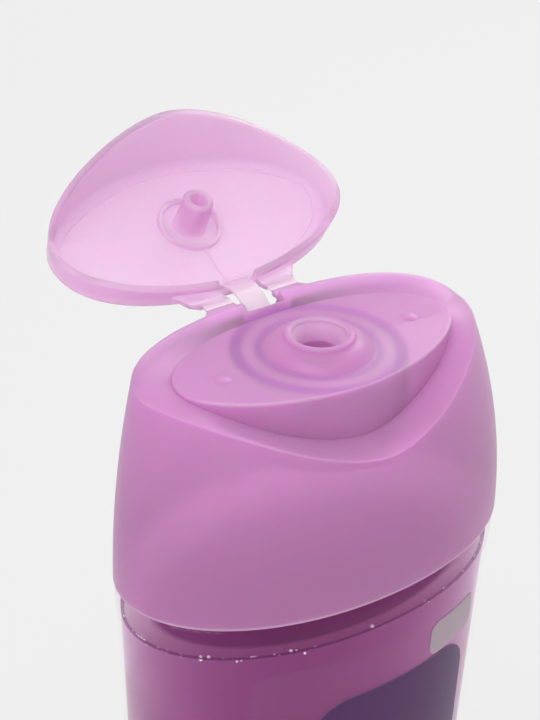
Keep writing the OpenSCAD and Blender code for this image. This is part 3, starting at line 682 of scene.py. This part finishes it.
# %% Bubbles along the gel line
def balls(name, centres, radii, segments=12, rows=7):
    """Many balls: centre + radius * (cos u sin v, sin u sin v, cos v) for a grid of u and v."""
    u = np.linspace(0, 2 * np.pi, segments, endpoint=False)
    v = np.linspace(0.03, np.pi - 0.03, rows)[:, None]
    unit = np.stack([np.cos(u) * np.sin(v), np.sin(u) * np.sin(v), np.cos(v) + 0 * u], axis=-1)
    unit = unit.reshape(-1, 3)
    points = (centres[:, None] + radii[:, None, None] * unit).reshape(-1, 3)
    one = grid_faces(rows, segments)
    caps = [np.arange(segments)[::-1], np.arange(segments) + (rows - 1) * segments]
    faces = [f + k * len(unit) for k in range(len(centres)) for f in one + caps]
    return put_mesh(name, points, faces)


rng = np.random.default_rng(7)
BUBBLES = 110
angle = rng.uniform(0, 2 * np.pi, BUBBLES)
radius = 0.12 + 0.28 * rng.random(BUBBLES) ** 3
depth = 0.1 + 1.1 * rng.random(BUBBLES) ** 3
wall_point = even_oval(body_half(GEL_Z) - WALL, angle)
inward = 1 - (radius + 0.02)[:, None] / np.linalg.norm(wall_point, axis=1)[:, None]
bubbles = settle(balls("bubbles", np.column_stack([wall_point * inward, GEL_Z - depth]), radius))
print("bubbles:", BUBBLES)

# %% [markdown]
# ## The label
# The front label is a clear film with fields of print. It follows the bottle's section just
# outside it. Its grid runs across by the angle and up by the height, and near each corner the
# sides step in by r - sqrt(r^2 - (r - d)^2) to round it.

# %% Label sheet
LABEL_TOP, LABEL_H, LABEL_CORNER, LABEL_GAP, LABEL_T = BODY_H - 10.5, 128.0, 5.0, 0.08, 0.12
LABEL_LEFT, LABEL_RIGHT = 229.5, 310.5
DEGREES_PER_MM = 57.3 / TOP_HALF[0]


def label_sheet():
    """Two sheets a film's thickness apart, joined along their edge into one closed skin."""
    low = LABEL_TOP - LABEL_H
    a = np.radians(np.linspace(0, 90, 9))
    corner = LABEL_CORNER * (1 - np.cos(a))
    z = np.concatenate([low + corner, np.linspace(low + LABEL_CORNER, LABEL_TOP - LABEL_CORNER, 40)[1:-1],
                        (LABEL_TOP - corner)[::-1]])
    d = np.minimum(LABEL_TOP - z, z - low)
    inside = np.maximum(0, LABEL_CORNER - d)
    side = LABEL_CORNER - np.sqrt(np.maximum(0, LABEL_CORNER ** 2 - inside ** 2))
    across = np.linspace(0, 1, 61)

    angles = [np.radians(mix(LABEL_LEFT + step_in, LABEL_RIGHT - step_in, across))
              for step_in in side * DEGREES_PER_MM]

    def sheet(out):
        return np.array([ring(even_oval(body_half(height) + out, t), height) for height, t in zip(z, angles)])

    front, back = sheet(LABEL_GAP + LABEL_T), sheet(LABEL_GAP)
    rings = np.concatenate([front, back[:, ::-1]], axis=1)
    return skin_open_ends("label", rings, len(across))


label = settle(label_sheet())
print("label faces:", len(label.data.polygons))

# %% [markdown]
# ## Finishes
# Shader maths is easier to read as an expression, so one small class wraps a node's output
# and answers to the usual operators with Math nodes. A second class holds a node tree: one
# method makes any node from its type, its settings and its inputs, and the others are short
# forms of the nodes that are used often.

# %% Shader helpers
def operator(operation, reflected=False):
    """A method that adds one Math node. The reflected form has its two values swapped."""
    def method(self, *others):
        values = (*others, self) if reflected else (self, *others)
        return self.paint.node("ShaderNodeMath", {"operation": operation}, dict(enumerate(values)))
    return method


class Wire:
    """A socket's output; operators on it add Math nodes."""

    __add__, __radd__ = operator("ADD"), operator("ADD", reflected=True)
    __sub__, __rsub__ = operator("SUBTRACT"), operator("SUBTRACT", reflected=True)
    __mul__, __rmul__ = operator("MULTIPLY"), operator("MULTIPLY", reflected=True)
    __truediv__, __pow__ = operator("DIVIDE"), operator("POWER")
    absolute, at_least = operator("ABSOLUTE"), operator("MAXIMUM")

    def __init__(self, paint, socket):
        self.paint, self.socket = paint, socket


class Paint:
    """The node tree of a material or of the world."""

    def __init__(self, owner):
        owner.use_nodes = True
        self.owner, self.tree = owner, owner.node_tree
        self.tree.nodes.clear()

    def node(self, kind, settings=None, inputs=None, output=0):
        """Makes a node, sets its settings, then its sockets, and returns one output."""
        made = self.tree.nodes.new(kind)
        for key, value in (settings or {}).items():
            setattr(made, key, value)
        for key, value in (inputs or {}).items():
            socket = made.inputs[key]
            if isinstance(value, Wire):
                self.tree.links.new(value.socket, socket)
            else:
                socket.default_value = value
        return None if output is None else Wire(self, made.outputs[output])

    def object_place(self):
        """The place on the object in metres: the whole vector, then its x, y and z."""
        place = self.node("ShaderNodeTexCoord", output="Object")
        split = self.node("ShaderNodeSeparateXYZ", inputs={0: place}).socket.node
        return place, *(Wire(self, part) for part in split.outputs)

    def noise(self, place, scale, detail):
        """Noise with waves about 1 / scale metres long."""
        return self.node("ShaderNodeTexNoise", inputs={"Vector": place, "Scale": scale, "Detail": detail})

    def bump(self, height, strength, distance):
        """A surface tilted as if it had that height."""
        return self.node("ShaderNodeBump", inputs={"Strength": strength, "Distance": distance,
                                                   "Height": height})

    def step(self, value, edge, width):
        """Nothing below the edge, all above it, with a soft line of that width."""
        return self.node("ShaderNodeMapRange", {"interpolation_type": "SMOOTHSTEP"},
                         {"Value": value, "From Min": edge - width / 2, "From Max": edge + width / 2})

    def step_mm(self, value, edge, width):
        """The same, with the edge and the width in millimetres."""
        return self.step(value, edge * MM, width * MM)

    def blend_colors(self, share, first, second):
        """A colour between two colours, each a wire or its red, green and blue."""
        first, second = (c if isinstance(c, Wire) else (*c, 1) for c in (first, second))
        return self.node("ShaderNodeMix", {"data_type": "RGBA"}, {"Factor": share, 6: first, 7: second},
                         output=2)

    def absorbing(self, color, density):
        """A volume whose light falls as exp(-density * (1 - color) * length)."""
        return self.node("ShaderNodeVolumeAbsorption", inputs={"Color": (*color, 1), "Density": density})

    def done(self, shader, volume=None):
        """Links the shader, and the volume if there is one, and returns the material."""
        links = {"Surface": shader}
        if volume:
            links["Volume"] = volume
        self.node("ShaderNodeOutputMaterial", inputs=links, output=None)
        return self.owner


def new_paint(name):
    """The empty node tree of a new material."""
    return Paint(bpy.data.materials.new(name))


print("helpers ready")

# %% [markdown]
# The closure is frosted polypropylene: light goes through it, but a fine texture from the
# mould scatters it, so what lies behind shows only as soft shapes. A rough transmission with
# some scattering under the surface does both. A noise a fifth of a millimetre wide feeds the
# bump, and a slow one two centimetres wide varies the colour as real pigment does.

# %% Frosted plastic
DEEP_PINK = (0.96, 0.20, 0.88)


def frosted(name, colors, roughness, transmission, scatter, density, grain, ior=1.15, painted_light_and_marks=None):
    """Translucent plastic: two near colours mixed by slow noise, fine grain as bump, and an
    absorbing volume that makes thick places deeper in colour."""
    paint = new_paint(name)
    place, x, y, z = paint.object_place()
    cloud, fine = paint.noise(place, 45.0, 2.0), paint.noise(place, 5200.0, 1.0)
    tint = paint.blend_colors(cloud, *colors)
    # Painted light and shade, and any real marks, where the finish has them.
    if painted_light_and_marks:
        tint = painted_light_and_marks(paint, tint, x, y, z)
    shader = paint.node("ShaderNodeBsdfPrincipled", inputs={
        "Base Color": tint, "Roughness": roughness + 0.08 * (fine - 0.5), "IOR": ior,
        "Normal": paint.bump(fine, grain, 0.00008),
        "Coat Weight": 0.35, "Coat Roughness": 0.3, "Coat IOR": 1.5,
        "Transmission Weight": transmission, "Subsurface Weight": scatter,
        "Subsurface Radius": (1.0, 0.6, 0.9), "Subsurface Scale": 0.0025})
    return paint.done(shader, paint.absorbing(DEEP_PINK, density))


lid_paint = frosted("frosted_lid", ((0.95, 0.73, 0.90), (0.94, 0.71, 0.89)), roughness=0.22,
                    transmission=0.64, scatter=1.0, density=120.0, grain=0.03)
thin_paint = frosted("thin_hinge", ((0.90, 0.76, 0.86), (0.89, 0.74, 0.85)), roughness=0.20,
                     transmission=0.55, scatter=0.0, density=40.0, grain=0.04, ior=1.03)
print("frosted finish nodes:", len(lid_paint.node_tree.nodes))

# %% [markdown]
# The closure is the same plastic, with light and shade painted into its colour. Light gathers
# in some edges of a real moulding, and the parts behind it show through. A renderer needs many
# bounces to find all that light, so it is painted here as a little colour, by height and by
# the distance from the nozzle's axis: painted shade low down and over the skirt and plug, and
# painted light on the risen rim, the deck's front edge, the nozzle's dish and the lower edge.
# The fine weld line behind the nozzle is the moulding's own mark.

# %% Painted light and shade on the closure
# Colours of painted light on the lower edge, the pale edges and dish, and the risen rim; colours of painted
# shade low down and over the rings, the ring shade also being the weld line's own colour.
LIP_PAINTED_LIGHT, PAINTED_PALE_LIGHT, RIM_PAINTED_LIGHT = (0.92, 0.64, 0.86), (0.97, 0.70, 0.92), (1.00, 0.60, 0.96)
RING_SHADE_AND_WELD, LOW_PAINTED_SHADE = (0.66, 0.27, 0.72), (0.66, 0.34, 0.60)
LOW_SHADE_Z, LOW_SHADE_SOFT, LIP_Z = DECK_Z - 14, 32, BODY_H + 0.6
WELD_HALF, WELD_Y = 0.14, 9.6
RISEN_Z, RISEN_R, DISH_LIGHT_R = DECK_Z + 0.6, 15, 5


def closure_painted_light_and_marks(paint, tint, x, y, z):
    """Painted shade: deeper colour low down and over the skirt and plug. The fine weld line behind
    the nozzle is the moulding's own mark, in the same deeper colour. Painted light: paler on the
    risen rim behind, the deck's front edge, where (|x| / w)^p + (|y| / d)^p nears 1, the nozzle's
    dish and the lower edge."""
    r = (x ** 2 + y ** 2) ** 0.5
    # Painted shade: the closure darker towards its bottom.
    tint = paint.blend_colors(paint.step_mm(z, LOW_SHADE_Z, LOW_SHADE_SOFT), LOW_PAINTED_SHADE, tint)
    on_deck = paint.step_mm(z, DECK_Z - 0.5, 0.4)
    # Painted shade over the skirt and the plug, as if seen through the deck; the same colour marks the real
    # weld line below.
    for inner, outer in ((SKIRT_IN, SKIRT_R), (PLUG_IN, PLUG_R)):
        over = paint.step_mm(r, inner, 1.5) * (1 - paint.step_mm(r, outer, 1.5))
        tint = paint.blend_colors(on_deck * over * 0.75, tint, RING_SHADE_AND_WELD)
    weld = (1 - paint.step_mm(x.absolute(), WELD_HALF, 0.1)) * paint.step_mm(y, WELD_Y, 1)
    tint = paint.blend_colors(on_deck * weld * 0.6, tint, RING_SHADE_AND_WELD)
    # Painted light on the risen rim behind the deck.
    risen = paint.step_mm(z, RISEN_Z, 1.4) * paint.step_mm(r, RISEN_R, 1)
    tint = paint.blend_colors(risen * 0.7, tint, RIM_PAINTED_LIGHT)
    # Painted highlight along the deck's front edge, and painted light in the nozzle's dish.
    power = DECK_POWERS[0]
    edge = (x.absolute() / (DECK_HALF_W * MM)) ** power + (y.absolute() / (DECK_FRONT * MM)) ** power
    front_edge_highlight = paint.step(edge, 0.965, 0.03) * (1 - paint.step_mm(y, -3, 4))
    dish = 1 - paint.step_mm(r, DISH_LIGHT_R, 0.4)
    for mark, share in ((front_edge_highlight, 0.5), (dish, 0.9)):
        tint = paint.blend_colors(on_deck * mark * share, tint, PAINTED_PALE_LIGHT)
    # Painted highlight on the closure's lower edge.
    return paint.blend_colors(paint.step_mm(z, LIP_Z, 0.3), LIP_PAINTED_LIGHT, tint)


closure_paint = frosted("frosted_closure", ((0.82, 0.455, 0.77), (0.80, 0.425, 0.75)), roughness=0.35,
                        transmission=0.52, scatter=1.0, density=200.0, grain=0.12, painted_light_and_marks=closure_painted_light_and_marks)
print("closure finish nodes:", len(closure_paint.node_tree.nodes))

# %% [markdown]
# The bottle is clear, and the gel in it is clear too but deeply coloured. A colour on the
# surface would be the same at every thickness. An absorbing volume is lighter where the gel
# is thin, at the sides, and darker through the middle. Plastic and gel bend light almost
# alike, so a ray goes nearly straight from one to the other: the bodies of both get the index
# 1, which bends nothing, and a clear coat with the index of plastic gives the gloss.

# %% Clear bottle and coloured gel
# The gel's painted shade along its top line and over its top, and painted light on the top near the wall.
GEL_BODY, GEL_LINE_PAINTED_SHADE, DRY_WALL_PAINTED_SHADE = (0.97, 0.90, 0.96), (0.34, 0.14, 0.34), (0.88, 0.80, 0.85)
GEL_TOP_RIM_PAINTED_LIGHT, GEL_TOP_PAINTED_SHADE, GEL_ABSORBED = (0.80, 0.74, 0.76), (0.26, 0.04, 0.24), (0.62, 0.11, 0.54)
TOP_RIM_SHARE, SIDE_SHARE = 0.87, 0.985


def clear(name, tint, ior, coat=0.0, density=0.0, through=1.0):
    """Smooth clear matter. Its coat is there only where it meets open air, and it absorbs light
    inside if it has a density."""
    paint = new_paint(name)
    place, x, y, z = paint.object_place()
    ripple = paint.noise(place, 70.0, 1.0)
    if coat:
        coat *= paint.node("ShaderNodeAttribute", {"attribute_name": "open_air"}, output="Fac")
    shader = paint.node("ShaderNodeBsdfPrincipled", inputs={
        "Base Color": tint(paint, ripple, x, y, z), "Roughness": 0.02, "IOR": ior,
        "Normal": paint.bump(ripple, 0.1, 0.0003), "Transmission Weight": through,
        "Coat Weight": coat, "Coat Roughness": 0.03, "Coat IOR": 1.5})
    return paint.done(shader, paint.absorbing(GEL_ABSORBED, density) if density else None)


def near_white(paint, ripple, x, y, z):
    """Two whites mixed by slow noise."""
    return paint.blend_colors(ripple, (0.99, 0.985, 0.99), (0.975, 0.97, 0.975))


def pet_tint(paint, ripple, x, y, z):
    """Near white where gel wets the wall, and painted shade, a little darker, where there is air behind it.
    """
    dry = paint.step_mm(z, GEL_Z + 0.3, 0.4)
    return paint.blend_colors(dry, near_white(paint, ripple, x, y, z), DRY_WALL_PAINTED_SHADE)


def gel_tint(paint, ripple, x, y, z):
    """Clear at the side, with a painted dark line at the top of it; on top painted shade, with painted light
    paler near the wall.
    """
    half_w, half_d = (body_half(GEL_Z) - WALL) * MM
    share = ((x / half_w) ** 2 + (y / half_d) ** 2) ** 0.5
    # Painted shade on the gel's top, with painted light near the wall.
    top = paint.blend_colors(paint.step(share, TOP_RIM_SHARE, 0.05), GEL_TOP_PAINTED_SHADE, GEL_TOP_RIM_PAINTED_LIGHT)
    side = paint.blend_colors(ripple, GEL_BODY, [0.985 * c for c in GEL_BODY])
    # Painted shade: a dark line at the top of the gel's side.
    side = paint.blend_colors(paint.step_mm(z, GEL_Z - 0.5, 0.2), side, GEL_LINE_PAINTED_SHADE)
    return paint.blend_colors(paint.step(share, SIDE_SHARE, 0.01), top, side)


bottle_paint = clear("clear_pet", pet_tint, ior=1.0, coat=0.5)
gel_paint = clear("gel", gel_tint, ior=1.0, density=51.0)
bubble_paint = clear("bubble", near_white, ior=1.2, through=0.5)
print("gel finish nodes:", len(gel_paint.node_tree.nodes))

# %% [markdown]
# The label's film is clear. Its print is a plain dark panel with rounded corners, a small
# pale tag over it and a dark band low down, all left bare. A rounded rectangle is a distance:
# how far the point lies from a smaller rectangle, less the corner's radius, is negative
# inside. The same mask sets the colour, and how much of the film one sees through.

# %% Label print
PANEL = (4.5, 125), (18.5, 27), 8
TAG = (18.5, 156), (6.7, 3.6), 2
LOW_BAND = (0, 62), (21, 9), 4
INK, FADED_INK = (0.070, 0.014, 0.095), (0.082, 0.019, 0.108)
TAG_COLOR, FILM = (0.46, 0.36, 0.42), (0.95, 0.93, 0.96)


def rounded_field(paint, x, z, centre, half, corner):
    """1 inside a rounded rectangle, 0 outside, with an edge a tenth of a millimetre soft."""
    away_x, away_z = (((v - c * MM).absolute() - (h - corner) * MM).at_least(0.0)
                      for v, c, h in zip((x, z), centre, half))
    distance = (away_x * away_x + away_z * away_z) ** 0.5
    return 1 - paint.step_mm(distance, corner, 0.1)


def label_print():
    """Dark panel, pale tag and dark low band on clear film."""
    paint = new_paint("label_film")
    place, x, _, z = paint.object_place()
    panel, tag, low_band = (rounded_field(paint, x, z, *field) for field in (PANEL, TAG, LOW_BAND))
    fibre = paint.noise(place, 900.0, 2.0)
    printed = paint.blend_colors(tag, paint.blend_colors(fibre, INK, FADED_INK), TAG_COLOR)
    opaque = panel.at_least(low_band).at_least(tag * 0.85)
    shader = paint.node("ShaderNodeBsdfPrincipled", inputs={
        "Base Color": paint.blend_colors(panel.at_least(tag).at_least(low_band), FILM, printed),
        "Alpha": 0.006 + 0.966 * opaque, "Roughness": 0.28, "IOR": 1.3,
        "Normal": paint.bump(fibre, 0.05, 0.0001)})
    return paint.done(shader)


label_paint = label_print()
print("label finish nodes:", len(label_paint.node_tree.nodes))

# %% [markdown]
# Each new piece stands for its CAD node, rides on the body that carries it and takes its
# finish in a material slot. The hinge pieces ride on no body, and their place is baked into their meshes.

# %% Pieces, nodes, bodies and finishes
def dress(piece, paint, body=None, nodes=()):
    """Gives a piece its finish, its body and the nodes that it stands for."""
    piece.data.materials.clear()
    piece.data.materials.append(paint)
    if nodes:
        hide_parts(*nodes)
    if body:
        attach(piece, body)


dress(closure, closure_paint, "base", ["closure_base"])
dress(lid, lid_paint, "lid", ["flip_lid"])
dress(bottle, bottle_paint, "base", ["bottle"])
dress(gel, gel_paint, "base", ["gel_fill"])
dress(bubbles, bubble_paint, "base")
dress(label, label_paint, "base", ["front_label"])
dress(strap, thin_paint, nodes=["hinge_strap"])
dress(webs[0], thin_paint, nodes=["film_hinge_left"])
dress(webs[1], thin_paint, nodes=["film_hinge_right"])


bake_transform(strap)
for web in webs:
    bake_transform(web)

# %% [markdown]
# ## Camera, background and light
# The camera stands in front of the left shoulder and looks down on the nozzle, as in the
# photograph. Its place is an azimuth, an elevation, a small roll and a distance, with the
# deck's centre at a known place in the picture.

# %% Camera
PICTURE_W, PICTURE_H, SENSOR = 540, 720, 36
FOCAL_PX, DECK_PX = 1982.88, (318.74, 347.39)


def place_camera(azimuth, elevation, roll, distance):
    """back = (sin a cos e, -cos a cos e, sin e); the place backs off from the deck's centre."""
    a, e, r = (math.radians(v) for v in (azimuth, elevation, roll))
    back = Vector((math.sin(a) * math.cos(e), -math.cos(a) * math.cos(e), math.sin(e)))
    side = Vector((math.cos(a), math.sin(a), 0))
    up = back.cross(side)
    side, up = (math.cos(r) * side + math.sin(r) * up, -math.sin(r) * side + math.cos(r) * up)
    off_x, off_y = (DECK_PX[0] - PICTURE_W / 2) / FOCAL_PX, (PICTURE_H / 2 - DECK_PX[1]) / FOCAL_PX
    place = Vector((0, 0, DECK_Z)) + distance * (back - side * off_x - up * off_y)
    data = bpy.data.cameras.new("photo_camera")
    data.lens, data.sensor_width, data.clip_start = FOCAL_PX * SENSOR / PICTURE_H, SENSOR, 0.01
    camera = bpy.data.objects.new("photo_camera", data)
    turn = Matrix((side, up, back)).transposed()
    camera.matrix_world = Matrix.Translation(place * MM) @ turn.to_4x4()
    bpy.context.scene.collection.objects.link(camera)
    bpy.context.scene.camera = camera
    print("camera at, mm:", [round(v, 1) for v in place])


place_camera(azimuth=-36.58, elevation=30.59, roll=1.96, distance=332.5)

# %% [markdown]
# The background is one plain pale grey. The floor and the world show that grey to the
# camera, and to rays that come by way of gloss or through clear plastic. The floor mixes in
# a little real shading, so it keeps the shadow of the bottle.

# %% Floor and world
PALE, SHADE, AMBIENT = (0.863, 0.863, 0.863, 1), (0.75, 0.75, 0.75, 1), 0.9
SHADE_SHARE, FADE_R, FADE_WIDTH, FLOOR_HALF = 0.3, 0.6, 0.8, 3000.0


def seen_rays(paint):
    """1 for rays from the camera, from a reflection or through clear matter, and 0 for light."""
    path = paint.node("ShaderNodeLightPath").socket.node
    rays = [Wire(paint, path.outputs[f"Is {kind} Ray"]) for kind in ("Camera", "Glossy", "Transmission")]
    return rays[0].at_least(rays[1]).at_least(rays[2])


def floor_paint():
    """Plain grey: its own colour to seen rays, with a share of shading near the bottle for the
    shadow. Farther out the share fades, so that the floor meets the background unseen."""
    paint = new_paint("pale_floor")
    _, x, y, _ = paint.object_place()
    near = 1 - paint.step((x ** 2 + y ** 2) ** 0.5, FADE_R, FADE_WIDTH)
    shade = paint.node("ShaderNodeBsdfDiffuse", inputs={"Color": SHADE})
    plain = paint.node("ShaderNodeEmission", inputs={"Color": PALE, "Strength": 1.0})
    share = seen_rays(paint) * (1 - SHADE_SHARE * near)
    return paint.done(paint.node("ShaderNodeMixShader", inputs={0: share, 1: shade, 2: plain}))


corners = FLOOR_HALF * np.array([[-1, -1, 0], [1, -1, 0], [1, 1, 0], [-1, 1, 0]])
floor = put_mesh("floor", corners, [np.array([0, 1, 2, 3])])
floor.data.materials.append(floor_paint())

world = bpy.data.worlds.new("studio")
bpy.context.scene.world = world
sky = Paint(world)
strength = AMBIENT + (1 - AMBIENT) * seen_rays(sky)
background = sky.node("ShaderNodeBackground", inputs={"Color": PALE, "Strength": strength})
sky.node("ShaderNodeOutputWorld", inputs={"Surface": background}, output=None)
print("background grey:", PALE[0])

# %% [markdown]
# A large soft lamp from above and in front, and a smaller one from the right behind, give
# the gloss and the soft shade of a product photograph. The lamps stay weak, so a colour
# renders about as it is written.

# %% Lamps
def softbox(name, place, size, power):
    """A square area lamp that points at the closure."""
    data = bpy.data.lights.new(name, "AREA")
    data.shape, data.size, data.energy = "SQUARE", size, power
    lamp = bpy.data.objects.new(name, data)
    aim = Vector((0, 0, DECK_Z * MM)) - Vector(place)
    lamp.matrix_world = Matrix.Translation(place) @ aim.to_track_quat("-Z", "Y").to_matrix().to_4x4()
    bpy.context.scene.collection.objects.link(lamp)


softbox("key", (-0.55, -0.35, 1.05), 0.7, 5.5)
softbox("side", (0.75, 0.35, 0.75), 0.5, 3.0)
bpy.context.scene.view_settings.view_transform = "Standard"
print("lamps: 2")
